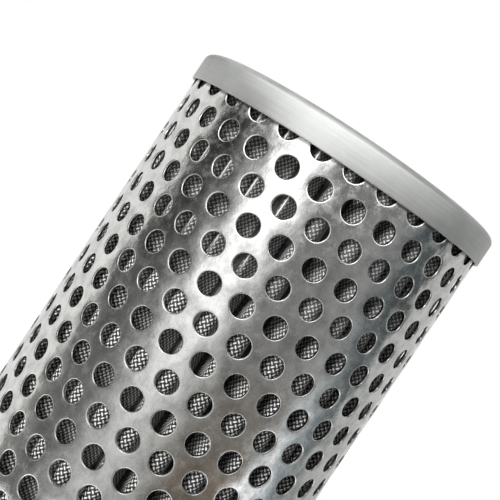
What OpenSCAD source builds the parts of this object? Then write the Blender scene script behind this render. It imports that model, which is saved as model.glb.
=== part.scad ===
// Hydraulic suction strainer. A pleated wire mesh pack stands round a perforated core, inside a
// perforated outer tube. A drawn cap closes the top, and a second one carries the threaded outlet.
// Millimetres, +Z up along the axis, origin in the middle of the outlet's lower face.

/* [Outer tube] */
// Outside diameter of the tube
tube_d = 82; // [76:1:96]
// Length of the tube
tube_len = 120; // [64:1:176]
// Thickness of the tube's sheet
tube_t = 0.8; // [0.5:0.1:1]
// Diameter of the punched holes
hole_d = 5; // [3:0.5:6]
// Holes in one row round the tube
holes_round = 32; // [24:1:36]
// Distance between rows of holes along the tube
row_pitch = 7; // [6:0.5:9]
// Distance from the end of the tube to the middle of its first row
end_margin = 4; // [4:0.5:8]
// Width of the strip that backs the tube's seam
seam_w = 7; // [4:0.5:9]
// Width of the line where the sheet's two edges meet
seam_line = 0.4; // [0.2:0.1:0.6]
// Place of the seam round the tube, in degrees
seam_turn = 90; // [0:11.25:360]

/* [End caps] */
// Thickness of both caps' sheet
cap_t = 0.8; // [0.6:0.1:1.2]
// Height of a cap, from its face to the edge of its skirt
cap_h = 7.2; // [5.6:0.2:12]
// Outside radius of a cap's shoulder
cap_round = 3.4; // [2:0.2:4.4]
// Gap between the tube and a cap's skirt
cap_clear = 0.1; // [0.05:0.05:0.3]
// Depth of the panel pressed into the closed cap
panel_depth = 1; // [0.4:0.2:2]
// Gap between the pressed panel and the core
panel_gap = 3; // [2:0.5:8]

/* [Pleated mesh] */
// Pleats round the pack
pleats = 32; // [26:1:36]
// Thickness of the woven mesh
mesh_t = 0.5; // [0.3:0.1:0.7]
// Gap between the pleats' crests and the tube
crest_gap = 1.2; // [1:0.1:2]
// Outside radius of the fold at a crest
crest_r = 0.8; // [0.8:0.1:1.4]
// Radius of the gap at a root's fold
root_r = 0.3; // [0.2:0.1:0.6]
// Turn of the first crest from the first hole, in degrees
pleat_turn = 4.9; // [0:0.1:11]
// Number of the pleat that holds the seam clip
clip_pleat = 11; // [0:1:25]
// Thickness of the seam clip's sheet
clip_t = 0.4; // [0.3:0.1:0.6]
// Gap between the seam clip and the mesh
clip_gap = 0.1; // [0.05:0.05:0.2]
// Length of the seam clip's legs
clip_leg = 3; // [1.5:0.1:3.5]

/* [Core] */
// Thickness of the core's sheet
core_t = 0.8; // [0.5:0.1:1.2]
// Gap between the fitting's bead and the core
core_gap = 5.7; // [3:0.1:7]
// Gap between the core and the pleats' roots
root_gap = 0.1; // [0.05:0.05:0.5]
// Diameter of the core's holes
core_hole_d = 6; // [4:0.5:8]
// Holes in one row round the core
core_round = 16; // [8:1:18]
// Distance between rows of holes along the core
core_pitch = 12; // [9:1:16]
// Distance from the end of the core to the middle of its first row
core_margin = 14; // [12:1:20]

/* [Resin] */
// Depth of the resin that holds the pleats in each cap
resin_h = 5; // [4:0.5:7]
// Resin between the cap and the end of the pleats
resin_floor = 1.5; // [1:0.5:2.5]

/* [Outlet fitting] */
// Diameter of the threaded port
port_d = 41.91; // [36:0.01:44]
// Wall of the neck round the port
neck_wall = 2.85; // [2:0.05:3.5]
// Length of the neck inside the cap
neck_len = 9; // [5:0.5:14]
// Width of the shoulder between the neck and the hexagon's flats
hex_shoulder = 2.2; // [1.5:0.1:4]
// Height of the hexagon
hex_h = 14; // [8:1:22]
// Slope of the chamfer on the hexagon's corners, in degrees
hex_slope = 30; // [15:1:40]
// Chamfer at the mouth of the port
mouth = 1.2; // [0.4:0.2:2]
// Width of the bead that clamps the cap to the neck
bead_w = 1.7; // [1:0.1:2.5]
// Height of the bead
bead_h = 1.6; // [1:0.1:2.5]
// Gap between the neck and the cap's hole
neck_clear = 0.1; // [0.05:0.05:0.3]

/* [Hidden] */
$fn = 96;
hole_fn = 24;
fold_steps = 8;
eps = 0.05;

// Radii from the tube inwards
tube_r = tube_d / 2;
tube_in = tube_r - tube_t;
cap_in = tube_r + cap_clear;
cap_r = cap_in + cap_t;
cap_round_in = cap_round - cap_t;
crest_c = tube_in - crest_gap - crest_r;
neck_r = port_d / 2 + neck_wall;
bead_r = neck_r + bead_w;
core_in = bead_r + core_gap;
core_r = core_in + core_t;
root_c = core_r + root_gap + mesh_t + root_r;
panel_r = core_in - panel_gap;
hex_af = 2 * (neck_r + hex_shoulder);

// The tube's end meets the round inside a cap's shoulder this far from the cap's inner face
tube_seat = cap_round_in - sqrt(2 * cap_round_in * cap_clear - cap_clear * cap_clear) + eps;

// Heights from the outlet's lower face
face_z = hex_h;
floor_z = face_z + cap_t;
tube_z = floor_z + tube_seat;
roof_z = tube_z + tube_len + tube_seat;
top_z = roof_z + cap_t;
mesh_z = floor_z + resin_floor;
mesh_len = roof_z - resin_floor - mesh_z;

// Rows of holes are counted from the tube's top, and every other row is turned by half a pitch
rows = floor((tube_len - 2 * end_margin) / row_pitch + eps) + 1;
hole_step = 360 / holes_round;
core_rows = floor((roof_z - floor_z - 2 * core_margin) / core_pitch + eps) + 1;
core_step = 360 / core_round;
seam_angle = 2 * asin(seam_w / 2 / tube_in);
bare_angle = 2 * asin((seam_w + hole_d) / 2 / tube_r);
pleat_step = 360 / pleats;
pleat_half = pleat_step / 2;

// Place of a root's fold as seen from the next crest's fold, and the angle through which a crest
// bends to each side, where the flank leaves it and runs straight to the root
root_in = root_c * cos(pleat_half) - crest_c;
root_side = root_c * sin(pleat_half);
swing = atan2(root_side, root_in) - acos((crest_r + root_r) / norm([root_in, root_side]));

tinplate = [0.80, 0.81, 0.80];
zinc = [0.66, 0.67, 0.66];
wire = [0.52, 0.52, 0.50];
resin = [0.20, 0.19, 0.18];

function polar(r, turn) = r * [cos(turn), sin(turn)];

// Arc about a point on the pack: the angles count from the direction that points away from the axis
function fold(centre, turn, r, from, to) =
  [for (i = [0 : fold_steps]) polar(centre, turn) + polar(r, turn + from + (to - from) * i / fold_steps)];

// Outline of the pack, set in from the mesh's outer side
function pleat_outline(inset) =
  [for (n = [0 : pleats - 1])
    let (turn = pleat_turn + n * pleat_step)
    each concat(fold(crest_c, turn, crest_r - inset, -swing, swing),
                fold(root_c, turn + pleat_half, root_r + inset,
                     180 + swing - pleat_half, 180 - swing + pleat_half))];

// One side of the seam clip's section: a leg along each flank and the bend over the crest
function clip_side(r) =
  concat([polar(r, -swing) + polar(clip_leg, -swing - 90)],
         [for (i = [0 : fold_steps]) polar(r, swing * (2 * i / fold_steps - 1))],
         [polar(r, swing) + polar(clip_leg, swing + 90)]);

function reversed(list) = [for (i = [len(list) - 1 : -1 : 0]) list[i]];

// Angle between a direction and the seam, from 0 to 180
function from_seam(turn) = abs((turn - seam_turn + 540) % 360 - 180);

module ring(outer, inner, height) {
  difference() {
    cylinder(r = outer, h = height);
    translate([0, 0, -eps]) cylinder(r = inner, h = height + 2 * eps);
  }
}

// Round hole through a wall of radius r, along +X
module punch(r, wall, d) {
  translate([r - 3 * wall, 0, 0]) rotate([0, 90, 0]) cylinder(d = d, h = 4 * wall, $fn = hole_fn);
}

// Half section of a drawn cup that stands mouth down on the X axis
module cup_section(r, height, round) {
  square([r, height - round]);
  square([r - round, height]);
  translate([r - round, height - round]) circle(round);
}

module cap_section() {
  difference() {
    cup_section(cap_r, cap_h, cap_round);
    translate([0, -eps]) cup_section(cap_in, cap_h - cap_t + eps, cap_round_in);
  }
}

// Half section of the pressed panel, from its top face down, at a given level and edge radius
module panel_section(level, edge, up) {
  polygon([[0, level - panel_depth], [edge - panel_depth, level - panel_depth], [edge, level],
           [edge, level + up], [0, level + up]]);
}

module resin_section() {
  roof = cap_h - cap_t;
  difference() {
    intersection() {
      cup_section(cap_in, roof, cap_round_in);
      translate([core_r, roof - resin_h]) square([cap_in, resin_h + eps]);
    }
    translate([tube_in, -eps]) square([cap_in, roof - tube_seat + eps]);
  }
}

// Places a cap's pieces in the upper cap, or turned over in the lower one
module in_upper_cap() { translate([0, 0, top_z - cap_h]) children(); }
module in_lower_cap() { translate([0, 0, face_z + cap_h]) mirror([0, 0, 1]) children(); }

module seam_strip() {
  translate([0, 0, tube_z]) rotate(seam_turn - seam_angle / 2) rotate_extrude(angle = seam_angle)
    translate([tube_in - tube_t, 0]) square([tube_t + eps, tube_len]);
}

module pleat_pack() {
  translate([0, 0, mesh_z]) linear_extrude(mesh_len) difference() {
    polygon(pleat_outline(0));
    polygon(pleat_outline(mesh_t));
  }
}

module closed_end_cap() {
  color(zinc) in_upper_cap() rotate_extrude() difference() {
    union() {
      cap_section();
      panel_section(cap_h - cap_t, panel_r + cap_t * tan(22.5), cap_t / 2);
    }
    panel_section(cap_h, panel_r, eps);
  }
}

module perforated_tube() {
  color(tinplate) difference() {
    union() {
      translate([0, 0, tube_z]) ring(tube_r, tube_in, tube_len);
      seam_strip();
    }
    rotate(seam_turn) translate([tube_r - tube_t / 2, -seam_line / 2, tube_z - eps])
      cube([tube_t, seam_line, tube_len + 2 * eps]);
    for (row = [0 : rows - 1], n = [0 : holes_round - 1]) {
      turn = hole_step * (n + (row + 1) % 2 / 2);
      if (from_seam(turn) > bare_angle / 2)
        translate([0, 0, tube_z + tube_len - end_margin - row * row_pitch]) rotate(turn)
          punch(tube_r, tube_t, hole_d);
    }
  }
}

module pleated_mesh() {
  color(wire) pleat_pack();
}

module pleat_seam_clip() {
  inner = crest_r + clip_gap;
  color(zinc) rotate(pleat_turn + clip_pleat * pleat_step)
    translate([crest_c, 0, floor_z + resin_h]) linear_extrude(roof_z - floor_z - 2 * resin_h)
      polygon(concat(clip_side(inner + clip_t), reversed(clip_side(inner))));
}

module core_tube() {
  color(tinplate) difference() {
    translate([0, 0, floor_z]) ring(core_r, core_in, roof_z - floor_z);
    for (row = [0 : core_rows - 1], n = [0 : core_round - 1])
      translate([0, 0, roof_z - core_margin - row * core_pitch]) rotate(core_step * (n + row % 2 / 2))
        punch(core_r, core_t, core_hole_d);
  }
}

module upper_resin() {
  color(resin) difference() {
    in_upper_cap() rotate_extrude() resin_section();
    pleat_pack();
    seam_strip();
  }
}

module lower_resin() {
  color(resin) difference() {
    in_lower_cap() rotate_extrude() resin_section();
    pleat_pack();
    seam_strip();
  }
}

module outlet_end_cap() {
  color(zinc) difference() {
    in_lower_cap() rotate_extrude() cap_section();
    translate([0, 0, face_z - eps]) cylinder(r = neck_r + neck_clear, h = cap_t + 2 * eps);
  }
}

module outlet_fitting() {
  neck_top = floor_z + neck_len;
  corner = hex_af / sqrt(3);
  color(zinc) difference() {
    union() {
      intersection() {
        cylinder(r = corner, h = hex_h, $fn = 6);
        rotate_extrude() polygon([[0, 0], [hex_af / 2, 0], [corner, (corner - hex_af / 2) * tan(hex_slope)],
                                  [corner + 1, hex_h], [0, hex_h]]);
      }
      cylinder(r = neck_r, h = neck_top);
      translate([0, 0, floor_z]) cylinder(r = bead_r, h = bead_h);
    }
    translate([0, 0, -eps]) cylinder(d = port_d, h = neck_top + 2 * eps);
    translate([0, 0, -eps]) cylinder(r1 = port_d / 2 + mouth + eps, r2 = port_d / 2, h = mouth + eps);
  }
}

closed_end_cap();
perforated_tube();
pleated_mesh();
pleat_seam_clip();
core_tube();
upper_resin();
lower_resin();
outlet_end_cap();
outlet_fitting();
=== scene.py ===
"""Looks of the suction strainer: finishes, the fine form of sheet, mesh and thread, light and camera.
Metres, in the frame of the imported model: +Z up along the strainer's axis, the camera on the -Y side."""

import math

import bmesh
import bpy
import numpy as np
from mathutils import Matrix, Vector


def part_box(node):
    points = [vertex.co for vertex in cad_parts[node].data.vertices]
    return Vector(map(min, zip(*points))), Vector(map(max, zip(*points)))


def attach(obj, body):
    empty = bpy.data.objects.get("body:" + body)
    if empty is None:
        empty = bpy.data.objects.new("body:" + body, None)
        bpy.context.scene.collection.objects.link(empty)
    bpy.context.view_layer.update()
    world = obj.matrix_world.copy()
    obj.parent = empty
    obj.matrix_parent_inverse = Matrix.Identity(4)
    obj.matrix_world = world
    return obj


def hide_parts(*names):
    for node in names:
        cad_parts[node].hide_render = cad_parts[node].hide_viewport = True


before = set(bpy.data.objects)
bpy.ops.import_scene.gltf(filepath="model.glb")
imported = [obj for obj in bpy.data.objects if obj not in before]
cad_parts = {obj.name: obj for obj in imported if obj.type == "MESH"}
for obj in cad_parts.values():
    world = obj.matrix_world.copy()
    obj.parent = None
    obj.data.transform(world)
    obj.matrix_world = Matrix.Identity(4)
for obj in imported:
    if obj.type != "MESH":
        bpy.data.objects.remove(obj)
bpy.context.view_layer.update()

MM = 0.001
FULL_TURN = 2 * math.pi
WELD_DISTANCE = 1e-7
NEAR = 1e-9
BLACK = (0.0, 0.0, 0.0, 1.0)
WHITE = (1.0, 1.0, 1.0, 1.0)

# Outer tube, as it is punched and rolled
TUBE_R = 41.0 * MM
TUBE_T = 0.8 * MM
TUBE_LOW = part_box("perforated_tube")[0].z
TUBE_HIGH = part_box("perforated_tube")[1].z
HOLE_R = 2.5 * MM
HOLES_ROUND = 32
PITCH = FULL_TURN * TUBE_R / HOLES_ROUND
ROW_PITCH = 7.0 * MM
END_MARGIN = 4.0 * MM
# Radius and depth, in millimetres, of the rings round a hole: the wall's top, and the edge that the punch
# rolls in
HOLE_RINGS = [(2.50, 0.22), (2.56, 0.10), (2.68, 0.025), (2.86, 0.0)]
# Six-sided piece of sheet that belongs to a hole: half its upright side, the reach of its point, and the step
# between points on its edge
CELL_SIDE = (ROW_PITCH ** 2 - PITCH ** 2 / 4) / (2 * ROW_PITCH)
CELL_POINT = ROW_PITCH - CELL_SIDE
EDGE_STEP = 0.95 * MM
# Bare strip at the seam, and the fine groove where the sheet's edges meet
SEAM_W = 7.0 * MM
SEAM_LINE = 0.4 * MM
SEAM_DEPTH = 0.4 * MM
SEAM_COLUMNS = 6

# Tinplate: tones of its clouds, range and roughness of its bright and dull patches, and heights of its relief
TIN_TONES = [(0.34, (0.60, 0.61, 0.595)), (0.51, (0.82, 0.83, 0.81)), (0.66, (0.93, 0.93, 0.92))]
TIN_PATCHES = (0.38, 0.64)
TIN_ROUGH = (0.06, 0.36)
TIN_WAVES = 0.6 * MM
TIN_CLOUDS = 0.10 * MM
TIN_PEBBLES = 0.03 * MM
# A hole's dull wall: the depths under the outer face at which it begins and is full, and the heights over the
# inner face at which it begins and is full
WALL_TONE = 0.25
WALL_OUTSIDE = (0.20 * MM, 0.36 * MM)
WALL_INSIDE = (0.01 * MM, 0.04 * MM)
# Painted shade in a thin dark line under each cap's edge: its width, the share of the width that is fully
# dark, and its tone
CAP_SHADE_W = 0.75 * MM
CAP_SHADE_CORE = 0.6
CAP_SHADE_TONE = 0.4

# Drawn caps
CAP_T = 0.8 * MM
CAP_SHOULDER = 1.8 * MM
CAP_EDGE = 0.25 * MM
PANEL_R = 28.205 * MM
PANEL_DEPTH = 1.0 * MM
PANEL_BEND = 0.6 * MM
# Tangent of half the slope of 45 degrees at the panel's edge
HALF_SLOPE = math.tan(math.radians(22.5))
NECK_HOLE_R = 23.905 * MM

# Zinc: range of its clouds and streaks, the shades at both ends, and heights of its relief
ZINC_RANGE = (0.35, 0.65)
ZINC_SHADES = (0.86, 1.10)
ZINC_STREAKS = 0.02 * MM
ZINC_RINGS = 0.05 * MM

# Pleated mesh
PLEATS = 32
PLEAT_STEP = FULL_TURN / PLEATS
FIRST_PLEAT = math.radians(4.9)
PLEAT_TURNS = FIRST_PLEAT + PLEAT_STEP * np.arange(PLEATS)
MESH_T = 0.5 * MM
CREST_TOP = 39.0 * MM
ROOT_C = 32.905 * MM
ROOT_R = 0.3 * MM
CREST_STEPS = 12
FLANK_STEPS = 3
ROOT_STEPS = 4
MESH_ROWS = 44
# A crest is a sharp crease at the top, and opens to a rounder fold below these heights
CREASE_LOW = 0.088
CREASE_HIGH = 0.108
CREASE_R = 0.6 * MM
OPEN_R = 1.8 * MM
CREASE_W = 0.40 * MM
# The sharp crests lean over, so that one flank is steeper than the other
LEAN = 0.9 * MM
# Pleats between these angles, in degrees from the -Y side to the right, are wide and loose, without a crease
LOOSE_FROM = (-1, 8)
LOOSE_TO = (140, 170)
LOOSE_R = 2.4 * MM
# Loose crests are pushed aside by this much past the first of them
LOOSE_SHIFT = 1.5 * MM
SHIFT_FROM = (6, 16)
# Every free crest sways a little in two waves up its height
SWAY = 0.12 * MM
SWAY_SLOW = 0.019
SWAY_QUICK = 0.0083
SWAY_SEED = 7
# The seam clip grips this pleat, whose fold stays plain and upright; the others are free
CLIP_PLEAT = 11
CLIP_FOLD_R = 0.8 * MM
FREE = np.where(np.arange(PLEATS) == CLIP_PLEAT, 0.0, 1.0)
# Length of sheet that is set aside for a pleat in the UV
SHEET_PER_PLEAT = 16 * MM

# Woven wire: tones from the gaps to the crowns of the weave, on the crests and deeper in on the flanks. The
# gaps are dark partly as open mesh and partly as painted shade, the crowns bright as painted highlight, and
# the flanks paler as painted light in the shaded valleys
WIRE_PITCH = 0.87 * MM
WIRE_SWAY = 0.6 * MM
WIRE_CRIMP = 0.7
WIRE_BUMP = 0.14 * MM
CREST_WEAVE_SHADING = [(0.34, (0.02, 0.02, 0.02)), (0.58, (0.14, 0.14, 0.138)), (0.86, (0.70, 0.70, 0.685))]
FLANK_WEAVE_SHADING = [(0.34, (0.12, 0.12, 0.118)), (0.58, (0.40, 0.40, 0.39)), (0.86, (1.0, 1.0, 0.98))]
FLANK_LIGHT_SHARE = 0.9
FLANK_INSET = 1.5 * MM
# Painted shade on the wire, darker towards the closed cap over the heights of the creases; a crease is a
# painted highlight line between painted shade at its edges
TOP_SHADE_TONE = (0.20, 0.20, 0.197, 1.0)
TOP_SHADE_SHARE = 0.35
CREASE_SHADE_TONE = (0.08, 0.08, 0.078, 1.0)
CREASE_HIGHLIGHT_TONE = (0.55, 0.55, 0.54, 1.0)
CREASE_HIGHLIGHT_FOLD = (0.82, 0.95)
# Roots: painted shade within the first distance outside the middle of their bends, and clear of it at the
# second
ROOT_SHADE_TONE = (0.07, 0.07, 0.069, 1.0)
ROOT_DARK = 0.2 * MM
ROOT_LIGHT = 1.0 * MM

# Outlet thread, a parallel pipe thread with 11 turns to the inch
PORT_R = 20.955 * MM
THREAD_PITCH = 2.309 * MM
THREAD_DEPTH = 1.479 * MM
# Across the ridge: places in pitches, and heights as a share of the depth
THREAD_SECTION = [(-0.48, 0.0), (-0.12, 0.93), (0.0, 1.0), (0.12, 0.93), (0.48, 0.0)]
THREAD_SUNK = 0.02 * MM
THREAD_SIDES = 64
# Room left at the fitting's lower and upper ends, the turns over which the ridge fades, and the share of it
# that is left at its ends
THREAD_BELOW = 1.6 * MM
THREAD_ABOVE = 1.4 * MM
THREAD_FADE = 0.75
THREAD_LEAST = 0.05

# Room that the bright metal shows: angle from the -Y side to the right in degrees, and the tone there, as a
# colour or as one number for a grey. A pale wall, a dark corner, a tall soft light, a grey wall, a second
# dark corner and a pale wall again. Low down, a bright stripe stands before the second corner.
SCREEN_R = 88 * MM
SCREEN_TOP = 0.30
SCREEN_SIDES = 96
UPPER_ROOM = [(-180, 0.30), (-152, 0.80), (-73, (0.79, 0.79, 0.775)), (-71, (0.07, 0.07, 0.065)),
              (-54, (0.02, 0.02, 0.018)), (-40, (0.16, 0.16, 0.155)), (-30, 0.48), (-22, 1.7), (-11, 1.7),
              (-3, 0.62), (7, 0.19), (45, 0.25), (60, (0.07, 0.085, 0.09)), (77, (0.06, 0.07, 0.07)),
              (82, (0.50, 0.50, 0.49)), (118, (0.58, 0.58, 0.57)), (144, 1.0), (180, 0.30)]
LOWER_ROOM = [(-180, 0.20), (-152, 0.78), (-73, (0.79, 0.79, 0.775)), (-70, (0.26, 0.26, 0.25)),
              (-47, (0.12, 0.12, 0.115)), (-33, 0.25), (-14, 0.60), (0, (0.45, 0.45, 0.44)),
              (18, (0.135, 0.108, 0.088)), (43, (0.185, 0.148, 0.115)), (54, (1.2, 1.22, 1.25)),
              (59, (1.2, 1.22, 1.25)), (64, (0.48, 0.53, 0.57)), (77, (0.20, 0.225, 0.23)),
              (84, (0.32, 0.33, 0.32)), (118, 0.50), (144, 1.0), (180, 0.20)]
# Heights between which the lower room passes into the upper one, and how late it does so by angle
ROOM_CHANGE = (0.042, 0.122)
ROOM_DELAY = [(-180, 1.5), (-45, 1.5), (-25, 0.8), (-5, 0.8), (20, 2.0), (180, 2.0)]
# Light above the camera's height, for the upper cap's wide gloss, by angle as above
SOFT_BOX = [(-125, 0.2), (-80, 0.2), (-66, 0.6), (-53, 2.2), (-40, 2.8), (-27, 2.7), (0, 3.1), (13, 2.6),
            (27, 2.2), (40, 1.5), (53, 0.9), (66, 0.3), (80, 0.0)]
SOFT_BOX_HEIGHT = (0.144, 0.174)
CEILING_R = 0.5
CEILING_Z = SCREEN_TOP + 0.02
CEILING_SIDES = 48
CEILING_TONES = (0.4, 0.6)

# Floor, fill light and camera
FLOOR_HALF = 0.42
FLOOR_Z = -0.05 * MM
FLOOR_TONE = (0.86, 0.86, 0.86, 1.0)
FLOOR_GLOW = 0.34
FILL = 0.12
LAMP_AIM = (0.0, 0.0, 0.07)
CAMERA_PLACE = (0.58 * MM, -194.54 * MM, 120.24 * MM)
CAMERA_YAW = math.radians(3.193)
CAMERA_TILT = math.radians(89.48)
CAMERA_ROLL = math.radians(33.78)


# Meshes

def new_object(name, vertices, faces, uv=None, sharp=60, weld=False):
    """Mesh object with smooth faces, whose edges above the sharp angle in degrees stay crisp.
    The UV has a row for each face corner."""
    mesh = bpy.data.meshes.new(name)
    mesh.from_pydata([tuple(v) for v in vertices], [], faces)
    if uv is not None:
        layer = mesh.uv_layers.new(name="sheet")
        layer.data.foreach_set("uv", np.asarray(uv, float).ravel())
    if weld:
        work = bmesh.new()
        work.from_mesh(mesh)
        bmesh.ops.remove_doubles(work, verts=work.verts, dist=WELD_DISTANCE)
        work.to_mesh(mesh)
        work.free()
    mesh.validate()
    mesh.shade_smooth()
    mesh.set_sharp_from_angle(angle=math.radians(sharp))
    made = bpy.data.objects.new(name, mesh)
    bpy.context.scene.collection.objects.link(made)
    return made


def wrapped_uv(vertices, faces, radius):
    """Unrolled place of each face corner in metres: along the circumference, and up the axis."""
    points = np.asarray(vertices)
    turn = np.arctan2(points[:, 0], -points[:, 1])
    rows = []
    for face in faces:
        first = turn[face[0]]
        for corner in face:
            step = (turn[corner] - first + math.pi) % FULL_TURN - math.pi
            rows.append(((first + step) * radius, points[corner, 2]))
    return rows


def revolved(name, profile, sides=192, sharp=35):
    """Closed outline of (radius, height) points turned about the Z axis.
    The UV runs round the axis and along the outline."""
    count = len(profile)
    outer = max(r for r, _ in profile)
    run = [0.0]
    for i in range(count):
        run.append(run[-1] + math.dist(profile[i], profile[(i + 1) % count]))
    vertices, faces, uv = [], [], []
    for side in range(sides):
        turn = FULL_TURN * side / sides
        vertices += [(r * math.sin(turn), -r * math.cos(turn), z) for r, z in profile]
        here, there = side * count, (side + 1) % sides * count
        left, right = (FULL_TURN * outer * s / sides for s in (side, side + 1))
        for i in range(count):
            j = (i + 1) % count
            if profile[i][0] > 0 or profile[j][0] > 0:
                faces.append((here + j, there + j, there + i, here + i))
                uv += [(left, run[i + 1]), (right, run[i + 1]), (right, run[i]), (left, run[i])]
    return new_object(name, vertices, faces, uv, sharp, weld=True)


def arc(centre, radius, start, end, steps):
    """Points on an arc in the half section, angles in degrees from the outward direction."""
    turns = np.radians(np.linspace(start, end, steps + 1))
    return [(centre[0] + radius * math.cos(t), centre[1] + radius * math.sin(t)) for t in turns]


def smooth_step(value, low, high):
    """Smooth rise from 0 at low to 1 at high."""
    t = np.clip((value - low) / (high - low), 0, 1)
    return t * t * (3 - 2 * t)


def dress(piece, node, material):
    """Lets a piece stand for a node of the same shape."""
    piece.data.materials.append(material)
    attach(piece, "root")
    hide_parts(node)


# Shader nodes

def add(tree, kind, inputs=None, **settings):
    """New node; an input is a socket to link or a value to set."""
    made = tree.nodes.new(kind)
    for key, value in settings.items():
        setattr(made, key, value)
    for key, value in (inputs or {}).items():
        if isinstance(value, bpy.types.NodeSocket):
            tree.links.new(value, made.inputs[key])
        else:
            made.inputs[key].default_value = value
    return made


def calc(tree, operation, *values, clamp=False):
    """Output of a math node."""
    made = add(tree, "ShaderNodeMath", dict(enumerate(values)), operation=operation, use_clamp=clamp)
    return made.outputs[0]


def parts(tree, vector):
    """X, Y and Z of a vector."""
    return add(tree, "ShaderNodeSeparateXYZ", {0: vector}).outputs


def noise(tree, vector, scale, detail=3.0, rough=0.5):
    """Output of a noise texture, about 0.3 to 0.7."""
    inputs = {"Vector": vector, "Scale": scale, "Detail": detail, "Roughness": rough}
    return add(tree, "ShaderNodeTexNoise", inputs).outputs["Fac"]


def stretched(tree, vector, along, across):
    """Coordinates with a scale of its own on each axis, for streaks."""
    inputs = {0: vector, 1: (along, across, 1.0)}
    return add(tree, "ShaderNodeVectorMath", inputs, operation="MULTIPLY").outputs[0]


def spread(tree, value, low, high, to_low, to_high):
    """Value carried from one range to another, clamped."""
    inputs = {"Value": value, "From Min": low, "From Max": high, "To Min": to_low, "To Max": to_high}
    return add(tree, "ShaderNodeMapRange", inputs).outputs[0]


def ramp(tree, value, stops):
    """Output of a colour ramp with (place, colour) stops in rising order."""
    made = add(tree, "ShaderNodeValToRGB", {"Fac": value})
    elements = made.color_ramp.elements
    elements[0].position, elements[1].position = stops[0][0], stops[-1][0]
    for place, _ in stops[1:-1]:
        elements.new(place)
    for element, (_, colour) in zip(elements, stops):
        element.color = (*colour, 1.0)
    return made.outputs["Color"]


def mix(tree, share, first, second):
    """Colour between two colours. The mix node's colours are its inputs 6 and 7 and its output 2."""
    made = add(tree, "ShaderNodeMix", {0: share, 6: first, 7: second}, data_type="RGBA")
    return made.outputs[2]


def bump(tree, height, distance, normal=None, strength=1.0):
    """Normal of a relief whose height runs from 0 to a distance in metres."""
    inputs = {"Height": height, "Distance": distance, "Strength": strength}
    if normal:
        inputs["Normal"] = normal
    return add(tree, "ShaderNodeBump", inputs).outputs["Normal"]


def new_material(name, **values):
    """Material with its constants set on the shader."""
    material = bpy.data.materials.new(name)
    material.use_nodes = True
    tree = material.node_tree
    shader = tree.nodes["Principled BSDF"]
    for key, value in values.items():
        shader.inputs[key.replace("_", " ")].default_value = value
    place = add(tree, "ShaderNodeTexCoord").outputs
    return material, tree, shader, place


def connect(tree, shader, **sockets):
    """Links sockets to the shader's inputs."""
    for key, socket in sockets.items():
        tree.links.new(socket, shader.inputs[key.replace("_", " ")])


def axis_distance(tree, place):
    """Distance of a point from the strainer's axis."""
    inputs = {0: place["Object"], 1: (1.0, 1.0, 0.0)}
    flat = add(tree, "ShaderNodeVectorMath", inputs, operation="MULTIPLY").outputs[0]
    return add(tree, "ShaderNodeVectorMath", {0: flat}, operation="LENGTH").outputs["Value"]


# Finishes

def cut_walls(tree, place):
    """1 on both faces of the sheet, and less on the dull walls that the punch leaves in its holes."""
    radius = axis_distance(tree, place)
    begin, full = WALL_OUTSIDE
    outside = spread(tree, radius, TUBE_R - full, TUBE_R - begin, WALL_TONE, 1.0)
    inner_r = TUBE_R - TUBE_T
    bare, covered = WALL_INSIDE
    inside = spread(tree, radius, inner_r + bare, inner_r + covered, 1.0, WALL_TONE)
    return calc(tree, "MAXIMUM", outside, inside)


def cap_edge_shade(tree, place):
    """1 on open sheet, and less in the thin dark line of painted shade under each cap's edge."""
    height = parts(tree, place["Object"])["Z"]
    upper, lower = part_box("closed_end_cap")[0].z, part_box("outlet_end_cap")[1].z
    below = spread(tree, height, upper - CAP_SHADE_W, upper - CAP_SHADE_CORE * CAP_SHADE_W, 1.0, CAP_SHADE_TONE)
    above = spread(tree, height, lower + CAP_SHADE_CORE * CAP_SHADE_W, lower + CAP_SHADE_W, CAP_SHADE_TONE, 1.0)
    return calc(tree, "MINIMUM", below, above)


def tinplate_material():
    """Bright rolled tinplate: a near mirror, a little wavy and pebbled, with smudges, dull patches and
    painted shade under the caps' edges.
    """
    material, tree, shader, place = new_material("tinplate", Metallic=1.0)
    waves = noise(tree, place["Object"], scale=85.0, detail=2.0)
    clouds = noise(tree, place["Object"], scale=240.0, detail=5.0, rough=0.65)
    patches = noise(tree, place["Object"], scale=420.0, detail=5.0, rough=0.65)
    pebbles = noise(tree, place["Object"], scale=800.0, detail=3.0, rough=0.6)
    # Painted shade under each cap's edge, together with the dull walls of the holes
    cap_shade_and_walls = calc(tree, "MULTIPLY", cap_edge_shade(tree, place), cut_walls(tree, place))
    colour = mix(tree, cap_shade_and_walls, BLACK, ramp(tree, clouds, TIN_TONES))
    rough = spread(tree, patches, *TIN_PATCHES, *TIN_ROUGH)
    normal = bump(tree, waves, TIN_WAVES)
    normal = bump(tree, clouds, TIN_CLOUDS, normal)
    normal = bump(tree, pebbles, TIN_PEBBLES, normal)
    connect(tree, shader, Base_Color=colour, Roughness=rough, Normal=normal)
    return material


def zinc_material(name, tone, rough_low, rough_high):
    """Satin zinc plate with fine streaks round the axis and a soft cloudy tone."""
    material, tree, shader, place = new_material(name, Metallic=1.0)
    clouds = noise(tree, place["Object"], scale=120.0, detail=4.0, rough=0.6)
    fine = stretched(tree, place["UV"], along=60.0, across=2600.0)
    streaks = noise(tree, fine, scale=1.0, detail=4.0, rough=0.65)
    mixed = calc(tree, "ADD", calc(tree, "MULTIPLY", clouds, 0.5), calc(tree, "MULTIPLY", streaks, 0.5))
    dark, light = (tuple(c * shade for c in tone) for shade in ZINC_SHADES)
    colour = ramp(tree, mixed, list(zip(ZINC_RANGE, (dark, light))))
    rough = spread(tree, mixed, *ZINC_RANGE, rough_low, rough_high)
    broad = stretched(tree, place["UV"], along=8.0, across=700.0)
    rings = noise(tree, broad, scale=1.0, detail=2.0)
    normal = bump(tree, rings, ZINC_RINGS, bump(tree, streaks, ZINC_STREAKS))
    connect(tree, shader, Base_Color=colour, Roughness=rough, Normal=normal)
    return material


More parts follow.
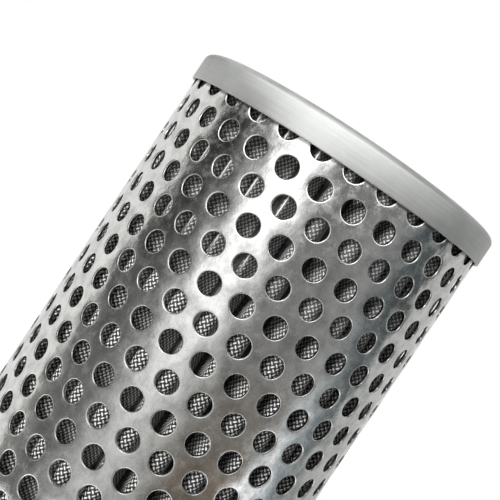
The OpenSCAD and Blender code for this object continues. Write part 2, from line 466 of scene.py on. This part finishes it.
def weave_height(tree, place):
    """Height of a plain weave on the bias: round wires that pass over and under each other."""
    sway = noise(tree, place["Object"], scale=220.0, detail=2.0)
    along = parts(tree, place["UV"])
    across = calc(tree, "ADD", along["X"], calc(tree, "MULTIPLY", sway, WIRE_SWAY))
    scale = math.pi / (WIRE_PITCH * math.sqrt(2))
    warp = calc(tree, "SINE", calc(tree, "MULTIPLY", calc(tree, "ADD", across, along["Y"]), scale))
    weft = calc(tree, "SINE", calc(tree, "MULTIPLY", calc(tree, "SUBTRACT", across, along["Y"]), scale))
    over = calc(tree, "MULTIPLY", calc(tree, "MULTIPLY", warp, weft), WIRE_CRIMP)
    warp_round, weft_round = (calc(tree, "ABSOLUTE", wave) for wave in (warp, weft))
    warp_height = calc(tree, "MULTIPLY", warp_round, calc(tree, "ADD", warp_round, over))
    weft_height = calc(tree, "MULTIPLY", weft_round, calc(tree, "SUBTRACT", weft_round, over))
    return calc(tree, "DIVIDE", calc(tree, "MAXIMUM", warp_height, weft_height), 1 + WIRE_CRIMP)


def wire_colour(tree, place, height, radius):
    """Tone of the wires: painted shade in the weave's gaps, which are partly open, and painted highlight on
    its crowns; painted shade towards the closed cap over the heights of the creases, and painted light down
    the flanks, paler in the shaded valleys.
    """
    level = parts(tree, place["Object"])["Z"]
    # Painted shade, darker towards the top under the closed cap
    dull = spread(tree, level, CREASE_LOW, CREASE_HIGH, 0.0, TOP_SHADE_SHARE)
    crest = mix(tree, dull, ramp(tree, height, CREST_WEAVE_SHADING), TOP_SHADE_TONE)
    # Painted light, paler deeper down the flanks where the valleys are shaded
    deep = spread(tree, radius, ROOT_C + FLANK_INSET, CREST_TOP - FLANK_INSET, FLANK_LIGHT_SHARE, 0.0)
    return mix(tree, deep, crest, ramp(tree, height, FLANK_WEAVE_SHADING))


def mesh_material():
    """Woven wire, with a painted highlight line between painted shade at a sharp fold, and painted shade at
    the roots.
    """
    material, tree, shader, place = new_material("wire_mesh", Metallic=0.35, Roughness=0.32)
    height = weave_height(tree, place)
    radius = axis_distance(tree, place)
    fold = add(tree, "ShaderNodeAttribute", attribute_name="fold").outputs["Fac"]
    # Painted shade beside a sharp fold, and a painted highlight line along it
    shaded = mix(tree, fold, wire_colour(tree, place, height, radius), CREASE_SHADE_TONE)
    with_crease_highlight = mix(tree, spread(tree, fold, *CREASE_HIGHLIGHT_FOLD, 0.0, 1.0), shaded, CREASE_HIGHLIGHT_TONE)
    # Painted shade in the roots of the pleats
    depth = spread(tree, radius, ROOT_C + ROOT_DARK, ROOT_C + ROOT_LIGHT, 0.0, 1.0)
    colour = mix(tree, depth, ROOT_SHADE_TONE, with_crease_highlight)
    woven = calc(tree, "SUBTRACT", 1.0, fold)
    connect(tree, shader, Base_Color=colour, Normal=bump(tree, height, WIRE_BUMP, strength=woven))
    return material


def resin_material():
    """Dark cast resin, a little uneven and half glossy."""
    material, tree, shader, place = new_material("resin")
    clouds = noise(tree, place["Object"], scale=300.0, detail=4.0, rough=0.6)
    colour = ramp(tree, clouds, [(0.3, (0.025, 0.024, 0.022)), (0.7, (0.05, 0.048, 0.045))])
    rough = spread(tree, clouds, 0.3, 0.7, 0.35, 0.6)
    connect(tree, shader, Base_Color=colour, Roughness=rough, Normal=bump(tree, clouds, 0.05 * MM))
    return material


# Perforated tube

def split(start, end):
    """Points from start up to end, without end, evenly spaced."""
    start, end = Vector(start), Vector(end)
    steps = max(1, round((end - start).length / EDGE_STEP))
    return [start.lerp(end, i / steps) for i in range(steps)]


def cell_outline(first, last):
    """Outline of the sheet that belongs to one hole, unrolled, about the hole's middle."""
    half, side, point, end = PITCH / 2, CELL_SIDE, CELL_POINT, END_MARGIN
    above = [(half, end), (-half, end)] if first else [(half, side), (0, point), (-half, side)]
    below = [(-half, -end), (half, -end)] if last else [(-half, -side), (0, -point), (half, -side)]
    corners = above + below
    return [p for i, c in enumerate(corners) for p in split(c, corners[(i + 1) % len(corners)])]


class Sheet:
    """Vertices and faces of the rolled sheet. A place is an arc on the outside, a height and a depth."""

    def __init__(self):
        self.vertices, self.faces, self.known = [], [], {}

    def vertex(self, along, height, depth):
        """Index of the vertex at a place, which neighbours share."""
        circumference = round(FULL_TURN * TUBE_R / MM, 3)
        round_place = round(round(along / MM, 3) % circumference, 2)
        key = (round_place, round(height / MM, 3), round(depth / MM, 4))
        if key not in self.known:
            turn, r = along / TUBE_R, TUBE_R - depth
            self.known[key] = len(self.vertices)
            self.vertices.append((r * math.sin(turn), -r * math.cos(turn), height))
        return self.known[key]

    def band(self, lower, upper):
        """Quads between two closed rings of vertices."""
        for i in range(len(lower)):
            j = (i + 1) % len(lower)
            self.faces.append((lower[i], lower[j], upper[j], upper[i]))


def hole_ring(sheet, middle, height, directions, radius, depth):
    """Vertices of one ring round a hole; radius and depth are in millimetres."""
    ring = []
    for d in directions:
        across = math.asin(d.x * radius * MM / (TUBE_R - depth * MM)) * TUBE_R
        ring.append(sheet.vertex(middle + across, height + d.y * radius * MM, depth * MM))
    return ring


def end_faces(sheet, outline, outer, inner, first, last):
    """Faces across the sheet's thickness at the ends of the tube."""
    for i, p in enumerate(outline):
        j = (i + 1) % len(outline)
        q = outline[j]
        at_top = first and min(p.y, q.y) > END_MARGIN - NEAR
        at_bottom = last and max(p.y, q.y) < NEAR - END_MARGIN
        if at_top or at_bottom:
            sheet.faces.append((outer[j], outer[i], inner[i], inner[j]))


def hole_cell(sheet, middle, height, first, last):
    """Sheet round one hole, through its thickness."""
    outline = cell_outline(first, last)
    directions = [p.normalized() for p in outline]
    wall_foot = (HOLE_RINGS[0][0], TUBE_T / MM)
    rings = [hole_ring(sheet, middle, height, directions, *spot) for spot in (wall_foot, *HOLE_RINGS)]
    outer = [sheet.vertex(middle + p.x, height + p.y, 0) for p in outline]
    inner = [sheet.vertex(middle + p.x, height + p.y, TUBE_T) for p in outline]
    for lower, upper in zip(rings, [*rings[1:], outer]):
        sheet.band(upper, lower)
    sheet.band(rings[0], inner)
    end_faces(sheet, outline, outer, inner, first, last)


def seam_border(rows):
    """Zigzag edge of the bare strip at the seam, from the bottom up: distance from the seam, and height."""
    points = []
    for row in reversed(range(rows)):
        middle = TUBE_HIGH - END_MARGIN - row * ROW_PITCH
        reach = PITCH if row % 2 == 0 else PITCH / 2
        low = middle - (END_MARGIN if row == rows - 1 else CELL_SIDE)
        high = middle + (END_MARGIN if row == 0 else CELL_SIDE)
        next_reach = PITCH * 1.5 - reach
        points += split((reach, low), (reach, high))
        if row:
            points += split((reach, high), (next_reach, middle + ROW_PITCH - CELL_SIDE))
        else:
            points.append(Vector((reach, high)))
    return points


def mirrored(places):
    """The same places on the other side of the seam."""
    return [(-x, depth) for x, depth in places]


def seam_section(reach):
    """Section of the bare strip, across the seam line and back behind it, as distances from the seam
    and depths."""
    shares = [i / SEAM_COLUMNS for i in range(SEAM_COLUMNS + 1)]
    face = [(reach + (SEAM_LINE / 2 - reach) * share, 0) for share in shares]
    face.append((SEAM_LINE / 2, SEAM_DEPTH))
    back = [(reach, TUBE_T), (SEAM_W / 2, TUBE_T), (SEAM_W / 2, 2 * TUBE_T), (SEAM_W / 6, 2 * TUBE_T)]
    return mirrored(face) + face[::-1] + back + mirrored(back[::-1])


def seam_strip(sheet, rows):
    """Bare sheet on both sides of the seam line, and the strip that backs it."""
    seam = math.pi * TUBE_R
    lines = []
    for reach, height in seam_border(rows):
        lines.append([sheet.vertex(seam + x, height, depth) for x, depth in seam_section(reach)])
    # Between the face's last place and the back's first one, the sheet goes on into the next hole's piece
    turn_back = 2 * (SEAM_COLUMNS + 2) - 1
    for lower, upper in zip(lines, lines[1:]):
        for i in range(len(lower) - 1):
            if i != turn_back:
                sheet.faces.append((lower[i], lower[i + 1], upper[i + 1], upper[i]))
    sheet.faces.append(tuple(lines[0][::-1]))
    sheet.faces.append(tuple(lines[-1]))


def perforated_tube():
    """Rolled sheet with staggered rows of holes and a bare strip at the seam."""
    rows = round((TUBE_HIGH - TUBE_LOW - 2 * END_MARGIN) / ROW_PITCH) + 1
    bare = (SEAM_W + 2 * HOLE_R) / 2
    sheet = Sheet()
    for row in range(rows):
        height = TUBE_HIGH - END_MARGIN - row * ROW_PITCH
        for n in range(HOLES_ROUND):
            middle = PITCH * (n + (row + 1) % 2 / 2)
            if abs(middle - math.pi * TUBE_R) > bare:
                hole_cell(sheet, middle, height, row == 0, row == rows - 1)
    seam_strip(sheet, rows)
    uv = wrapped_uv(sheet.vertices, sheet.faces, TUBE_R)
    return new_object("perforated_sheet", sheet.vertices, sheet.faces, uv)


# Pleated mesh

def tangent_angle(crest, bend, gap):
    """Angle from a crest's outward direction at which the flank leaves it for the root that lies gap away."""
    inward = ROOT_C * np.cos(gap) - crest
    aside = ROOT_C * np.sin(gap)
    return np.arctan2(aside, inward) - np.arccos((bend + ROOT_R) / np.hypot(inward, aside))


def arcs(centre, turn, radius, start, end, steps):
    """Points on one arc for each pleat, about a point on the pack."""
    t = start[:, None] + (end - start)[:, None] * np.linspace(0, 1, steps + 1)
    reach = np.reshape(radius, (-1, 1))
    x = (centre * np.cos(turn))[:, None] + reach * np.cos(t)
    y = (centre * np.sin(turn))[:, None] + reach * np.sin(t)
    return np.stack([x, y], -1)


def between(first, second):
    """Points on the straight lines between two sets of points, without the ends."""
    share = (np.arange(1, FLANK_STEPS) / FLANK_STEPS)[None, :, None]
    return first[:, None] * (1 - share) + second[:, None] * share


def loose_share(start):
    """How loose each pleat is, from 0 to 1, where looseness sets in between two angles."""
    side = (np.degrees(PLEAT_TURNS) + 270) % 360 - 180
    return smooth_step(side, *start) - smooth_step(side, *LOOSE_TO)


def crease_share(z):
    """How sharp each pleat's crest is at one height, from 0 to 1."""
    return smooth_step(z, CREASE_LOW, CREASE_HIGH) * (1 - loose_share(LOOSE_FROM)) * FREE


def pleat_strips(inset, bend, lean, sway):
    """Outline of each pleat at one height, from the middle of one root to the next.
    It is set in from the sheet's outer side."""
    crest = CREST_TOP - bend
    crest_turn = PLEAT_TURNS + sway / crest
    root_turn = PLEAT_TURNS + PLEAT_STEP / 2 + lean / ROOT_C
    right = crest_turn + tangent_angle(crest, bend, root_turn - crest_turn)
    left = crest_turn - tangent_angle(crest, bend, crest_turn - root_turn + PLEAT_STEP)
    next_left = np.append(left[1:], left[0] + FULL_TURN)
    crests = arcs(crest, crest_turn, bend - inset, left, right, CREST_STEPS)
    roots = arcs(ROOT_C, root_turn, ROOT_R + inset, right + math.pi, next_left + math.pi, ROOT_STEPS)
    before = np.roll(roots, 1, 0)[:, ROOT_STEPS // 2:]
    after = roots[:, :ROOT_STEPS // 2 + 1]
    rising = between(before[:, -1], crests[:, 0])
    falling = between(crests[:, -1], after[:, 0])
    return np.concatenate([before, rising, crests, falling, after], 1)


def pleat_levels(heights, inset):
    """Strips of all pleats at each height, with a slight sway of every free crest."""
    phases = np.random.default_rng(SWAY_SEED).uniform(0, FULL_TURN, (PLEATS, 2))
    loose = loose_share(LOOSE_FROM)
    shift = LOOSE_SHIFT * loose_share(SHIFT_FROM)
    levels = []
    for z in heights:
        crease = crease_share(z)
        bend = OPEN_R + (CREASE_R - OPEN_R) * crease + (LOOSE_R - OPEN_R) * loose
        bend = CLIP_FOLD_R + (bend - CLIP_FOLD_R) * FREE
        waves = np.sin(z / SWAY_SLOW + phases[:, 0]) + np.sin(z / SWAY_QUICK + phases[:, 1])
        sway = SWAY * waves * FREE
        lean = LEAN * crease * np.roll(FREE, -1)
        levels.append(pleat_strips(inset, bend, lean + shift, sway + shift))
    return np.array(levels)


def sheet_run(outer):
    """Length along the sheet from the middle of each pleat's crest, at each height."""
    lengths = np.linalg.norm(np.diff(outer, axis=2), axis=3)
    run = np.concatenate([np.zeros((*outer.shape[:2], 1)), np.cumsum(lengths, 2)], 2)
    return run - run[:, :, lengths.shape[2] // 2][..., None]


def pleat_faces(run, heights, side):
    """Faces of the sheet's two sides, and the UV of their corners."""
    size = run.shape[2] - 1
    around = PLEATS * size
    faces, uv = [], []
    for row in range(MESH_ROWS):
        for pleat in range(PLEATS):
            shift = pleat * SHEET_PER_PLEAT
            for i in range(size):
                a, b = pleat * size + i, (pleat * size + i + 1) % around
                corners = [(row, a, i), (row, b, i + 1), (row + 1, b, i + 1), (row + 1, a, i)]
                for base, order in ((0, corners), (side, corners[::-1])):
                    faces.append(tuple(base + level * around + spot for level, spot, _ in order))
                    uv += [(shift + run[level, pleat, k], heights[level]) for level, _, k in order]
    return faces, uv


def pleat_ends(around, side):
    """Faces across the sheet's thickness at its lower and upper end."""
    faces = []
    for row in (0, MESH_ROWS):
        outer, inner = row * around, side + row * around
        for a in range(around):
            b = (a + 1) % around
            ring = (outer + b, outer + a, inner + a, inner + b)
            faces.append(ring if row == 0 else ring[::-1])
    return faces


def pleated_mesh():
    """Pleated sheet with two sides; its fold attribute marks the sharp creases."""
    low, high = (corner.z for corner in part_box("pleated_mesh"))
    heights = np.linspace(low, high, MESH_ROWS + 1)
    outer, inner = (pleat_levels(heights, inset) for inset in (0.0, MESH_T))
    run = sheet_run(outer)
    around = PLEATS * (outer.shape[2] - 1)
    side = around * len(heights)
    vertices = [(x, y, z) for half in (outer, inner) for z, level in zip(heights, half)
                for x, y in level[:, :-1].reshape(-1, 2)]
    faces, uv = pleat_faces(run, heights, side)
    ends = pleat_ends(around, side)
    made = new_object("mesh_pleats", vertices, faces + ends, uv + [(0.0, 0.0)] * 4 * len(ends))
    crease = np.array([crease_share(z) for z in heights])
    fold = np.exp(-(run[:, :, :-1] / CREASE_W) ** 2) * crease[..., None]
    values = np.concatenate([fold.ravel(), np.zeros(side)])
    made.data.attributes.new("fold", "FLOAT", "POINT").data.foreach_set("value", values)
    return made


# Caps, fitting and thread

def cap_profile(radius, bottom, top, hole):
    """Half section of a drawn cap, mouth down, from its hole or middle outwards and back inside."""
    bend = (radius - CAP_SHOULDER, top - CAP_SHOULDER)
    outside = arc(bend, CAP_SHOULDER, start=90, end=0, steps=16)
    rim = arc((radius - CAP_EDGE, bottom + CAP_EDGE), CAP_EDGE, start=0, end=-90, steps=4)
    lip = arc((radius - CAP_T + CAP_EDGE, bottom + CAP_EDGE), CAP_EDGE, start=-90, end=-180, steps=4)
    inside = arc(bend, CAP_SHOULDER - CAP_T, start=0, end=90, steps=12)
    return hole[0] + outside + rim + lip + inside + hole[1]


def closed_cap(material):
    """Upper cap, with a round panel sunk into it."""
    low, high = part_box("closed_end_cap")
    top, flat = high.z, PANEL_R - PANEL_DEPTH
    sunk_bend = (flat - PANEL_BEND * HALF_SLOPE, top - PANEL_DEPTH + PANEL_BEND)
    sunk = arc(sunk_bend, PANEL_BEND, start=-90, end=-45, steps=5)
    raised_bend = (PANEL_R + PANEL_BEND * HALF_SLOPE, top - PANEL_BEND)
    raised = arc(raised_bend, PANEL_BEND, start=135, end=90, steps=5)
    ring_r = (PANEL_R + high.x - CAP_SHOULDER) / 2
    above = [(0.0, top - PANEL_DEPTH), (flat / 2, top - PANEL_DEPTH), *sunk, *raised, (ring_r, top)]
    below = [(ring_r, top - CAP_T), (PANEL_R + CAP_T * HALF_SLOPE, top - CAP_T),
             (flat + CAP_T * HALF_SLOPE, top - PANEL_DEPTH - CAP_T), (0.0, top - PANEL_DEPTH - CAP_T)]
    profile = cap_profile(high.x, low.z, top, (above, below))
    dress(revolved("top_cap", profile), "closed_end_cap", material)


def outlet_cap(material):
    """Lower cap, mouth up, with a hole for the fitting's neck."""
    low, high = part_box("outlet_end_cap")
    tall = high.z - low.z
    upright = cap_profile(high.x, 0.0, tall, ([(NECK_HOLE_R, tall)], [(NECK_HOLE_R, tall - CAP_T)]))
    profile = [(r, high.z - z) for r, z in reversed(upright)]
    dress(revolved("bottom_cap", profile), "outlet_end_cap", material)


def thread_vertices(start, count):
    """Sections of the ridge, one for each step round the port."""
    vertices = []
    for i in range(count + 1):
        turn = FULL_TURN * i / THREAD_SIDES
        level = start + THREAD_PITCH * i / THREAD_SIDES
        fade = max(float(smooth_step(min(i, count - i), 0, THREAD_SIDES * THREAD_FADE)), THREAD_LEAST)
        for rise, share in THREAD_SECTION:
            r = PORT_R + THREAD_SUNK - share * fade * (THREAD_DEPTH + THREAD_SUNK)
            vertices.append((r * math.cos(turn), r * math.sin(turn), level + rise * THREAD_PITCH * fade))
    return vertices


def outlet_thread(material):
    """Helical ridge inside the port, which fades out at both ends."""
    low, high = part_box("outlet_fitting")
    start, end = low.z + THREAD_BELOW, high.z - THREAD_ABOVE
    count = int((end - start) / THREAD_PITCH * THREAD_SIDES)
    vertices = thread_vertices(start, count)
    size = len(THREAD_SECTION)
    faces = []
    for i in range(count):
        a, b = i * size, (i + 1) * size
        for k in range(size):
            j = (k + 1) % size
            faces.append((a + k, a + j, b + j, b + k))
    faces += [tuple(range(size))[::-1], tuple(range(count * size, (count + 1) * size))]
    piece = new_object("port_thread", vertices, faces, wrapped_uv(vertices, faces, PORT_R), sharp=40)
    piece.data.materials.append(material)
    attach(piece, "root")


def finish_node(name, material):
    """New finish on a node that keeps its own shape."""
    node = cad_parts[name]
    node.data.materials.clear()
    node.data.materials.append(material)


# Studio

def seen_directly(tree):
    """1 where the eye meets the floor or the surroundings, directly or in metal, and 0 where they only
    give light."""
    path = add(tree, "ShaderNodeLightPath").outputs
    seen = calc(tree, "ADD", path["Is Camera Ray"], path["Is Glossy Ray"])
    return calc(tree, "ADD", seen, path["Is Transmission Ray"], clamp=True)


def studio_world():
    """White surroundings, with a plain soft level of light on the object."""
    world = bpy.data.worlds.new("studio")
    bpy.context.scene.world = world
    world.use_nodes = True
    tree = world.node_tree
    light = tree.nodes["Background"]
    light.inputs["Strength"].default_value = FILL
    light.inputs["Color"].default_value = WHITE
    white = add(tree, "ShaderNodeBackground", {"Color": WHITE, "Strength": 1.0})
    shaders = {0: seen_directly(tree), 1: light.outputs[0], 2: white.outputs[0]}
    mixed = add(tree, "ShaderNodeMixShader", shaders)
    tree.links.new(mixed.outputs[0], tree.nodes["World Output"].inputs["Surface"])


def floor():
    """Pale floor, open to the eye from below. It glows where it is seen, so that it is white but for the
    shadow."""
    signs = ((-1, -1), (1, -1), (1, 1), (-1, 1))
    corners = [(x * FLOOR_HALF, y * FLOOR_HALF, FLOOR_Z) for x, y in signs]
    made = new_object("floor", corners, [(0, 1, 2, 3)])
    material, tree, shader, _ = new_material(
        "pale_floor", Base_Color=FLOOR_TONE, Roughness=0.9, Emission_Color=WHITE)
    connect(tree, shader, Emission_Strength=calc(tree, "MULTIPLY", seen_directly(tree), FLOOR_GLOW))
    under = add(tree, "ShaderNodeNewGeometry").outputs["Backfacing"]
    clear = add(tree, "ShaderNodeBsdfTransparent").outputs[0]
    sides = add(tree, "ShaderNodeMixShader", {0: under, 1: shader.outputs[0], 2: clear})
    tree.links.new(sides.outputs[0], tree.nodes["Material Output"].inputs["Surface"])
    made.data.materials.append(material)


def reflected_only(made, colour):
    """A glowing screen that only metal sees."""
    made.visible_camera = False
    made.visible_diffuse = False
    made.visible_transmission = False
    made.visible_shadow = False
    material, tree, shader, place = new_material(
        made.name, Base_Color=BLACK, Roughness=1.0, Emission_Strength=1.0)
    connect(tree, shader, Emission_Color=colour(tree, place))
    made.data.materials.append(material)


def angle_ramp(tree, across, stops):
    """Colour ramp from stops at angles in rising order, over a coordinate that runs from 0 to 1
    between them."""
    first, last = stops[0][0], stops[-1][0]
    places = [(turn - first) / (last - first) for turn, _ in stops]
    tones = [tone if isinstance(tone, tuple) else (tone, tone, tone) for _, tone in stops]
    return ramp(tree, across, list(zip(places, tones)))


def room_colour(tree, place):
    """Colour of the room by angle and height."""
    across = parts(tree, place["UV"])
    upper, lower, delay = (angle_ramp(tree, across["X"], s) for s in (UPPER_ROOM, LOWER_ROOM, ROOM_DELAY))
    depth = calc(tree, "POWER", spread(tree, across["Y"], *ROOM_CHANGE, 1.0, 0.0), delay)
    return mix(tree, depth, upper, lower)


def soft_box_colour(tree, place):
    """Bright in the middle, and fading to both sides."""
    return angle_ramp(tree, parts(tree, place["UV"])["X"], SOFT_BOX)


def ceiling_colour(tree, place):
    """Grey, and a little uneven."""
    dim, bright = ((tone, tone, tone) for tone in CEILING_TONES)
    return ramp(tree, noise(tree, place["Object"], scale=2.0), [(0.3, dim), (0.7, bright)])


def curved_screen(name, radius, stops, low, high, colour):
    """Part of a round wall between the angles of its first and last stop.
    The UV runs from 0 to 1 round it, and up in metres."""
    first, last = stops[0][0], stops[-1][0]
    vertices, uv, faces = [], [], []
    for i in range(SCREEN_SIDES + 1):
        turn = math.radians(first + (last - first) * i / SCREEN_SIDES)
        vertices += [(radius * math.sin(turn), -radius * math.cos(turn), z) for z in (low, high)]
    for i in range(SCREEN_SIDES):
        faces.append((2 * i, 2 * i + 1, 2 * i + 3, 2 * i + 2))
        left, right = i / SCREEN_SIDES, (i + 1) / SCREEN_SIDES
        uv += [(left, low), (left, high), (right, high), (right, low)]
    reflected_only(new_object(name, vertices, faces, uv), colour)


def ceiling():
    """Round ceiling over the room."""
    turns = [FULL_TURN * i / CEILING_SIDES for i in range(CEILING_SIDES)]
    rim = [(CEILING_R * math.cos(t), CEILING_R * math.sin(t), CEILING_Z) for t in turns]
    reflected_only(new_object("ceiling", rim, [tuple(range(CEILING_SIDES))]), ceiling_colour)


def lamp(name, place, size, power):
    """Round soft lamp, aimed at the middle of the strainer."""
    data = bpy.data.lights.new(name, "AREA")
    data.shape = "DISK"
    data.size = size
    data.energy = power
    made = bpy.data.objects.new(name, data)
    bpy.context.scene.collection.objects.link(made)
    made.location = place
    made.rotation_euler = (Vector(LAMP_AIM) - Vector(place)).to_track_quat("-Z", "Y").to_euler()
    made.visible_glossy = False


def photo_camera():
    """Camera of the photograph: close, almost level, and rolled by more than a third of a right angle."""
    data = bpy.data.cameras.new("camera")
    data.sensor_width = 36.0
    data.lens = 55.62
    data.shift_x = -0.0349
    data.shift_y = -0.1087
    data.clip_start = 0.01
    data.clip_end = 50.0
    made = bpy.data.objects.new("camera", data)
    bpy.context.scene.collection.objects.link(made)
    level = Matrix.Rotation(CAMERA_YAW, 4, "Z") @ Matrix.Rotation(CAMERA_TILT, 4, "X")
    turn = level @ Matrix.Rotation(CAMERA_ROLL, 4, "Z")
    made.matrix_world = Matrix.Translation(CAMERA_PLACE) @ turn
    bpy.context.scene.camera = made


bpy.context.scene.view_settings.view_transform = "Standard"

zinc_sheet = zinc_material("zinc_sheet", (0.65, 0.66, 0.645), rough_low=0.52, rough_high=0.64)
zinc_steel = zinc_material("zinc_steel", (0.44, 0.45, 0.44), rough_low=0.24, rough_high=0.38)
core_sheet = zinc_material("core_sheet", (0.70, 0.71, 0.69), rough_low=0.20, rough_high=0.35)
clip_sheet = zinc_material("clip_sheet", (0.62, 0.62, 0.61), rough_low=0.25, rough_high=0.40)
resin = resin_material()

dress(perforated_tube(), "perforated_tube", tinplate_material())
dress(pleated_mesh(), "pleated_mesh", mesh_material())
closed_cap(zinc_sheet)
outlet_cap(zinc_sheet)
outlet_thread(zinc_steel)
finish_node("outlet_fitting", zinc_steel)
finish_node("core_tube", core_sheet)
finish_node("pleat_seam_clip", clip_sheet)
finish_node("upper_resin", resin)
finish_node("lower_resin", resin)

studio_world()
floor()
curved_screen("room", SCREEN_R, UPPER_ROOM, 0.0, SCREEN_TOP, room_colour)
curved_screen("soft_box", SCREEN_R - MM, SOFT_BOX, *SOFT_BOX_HEIGHT, soft_box_colour)
ceiling()
lamp("key", place=(-0.455, -0.855, 0.34), size=0.40, power=24.0)
lamp("back", place=(0.45, 0.85, 0.45), size=0.5, power=9.0)
photo_camera()
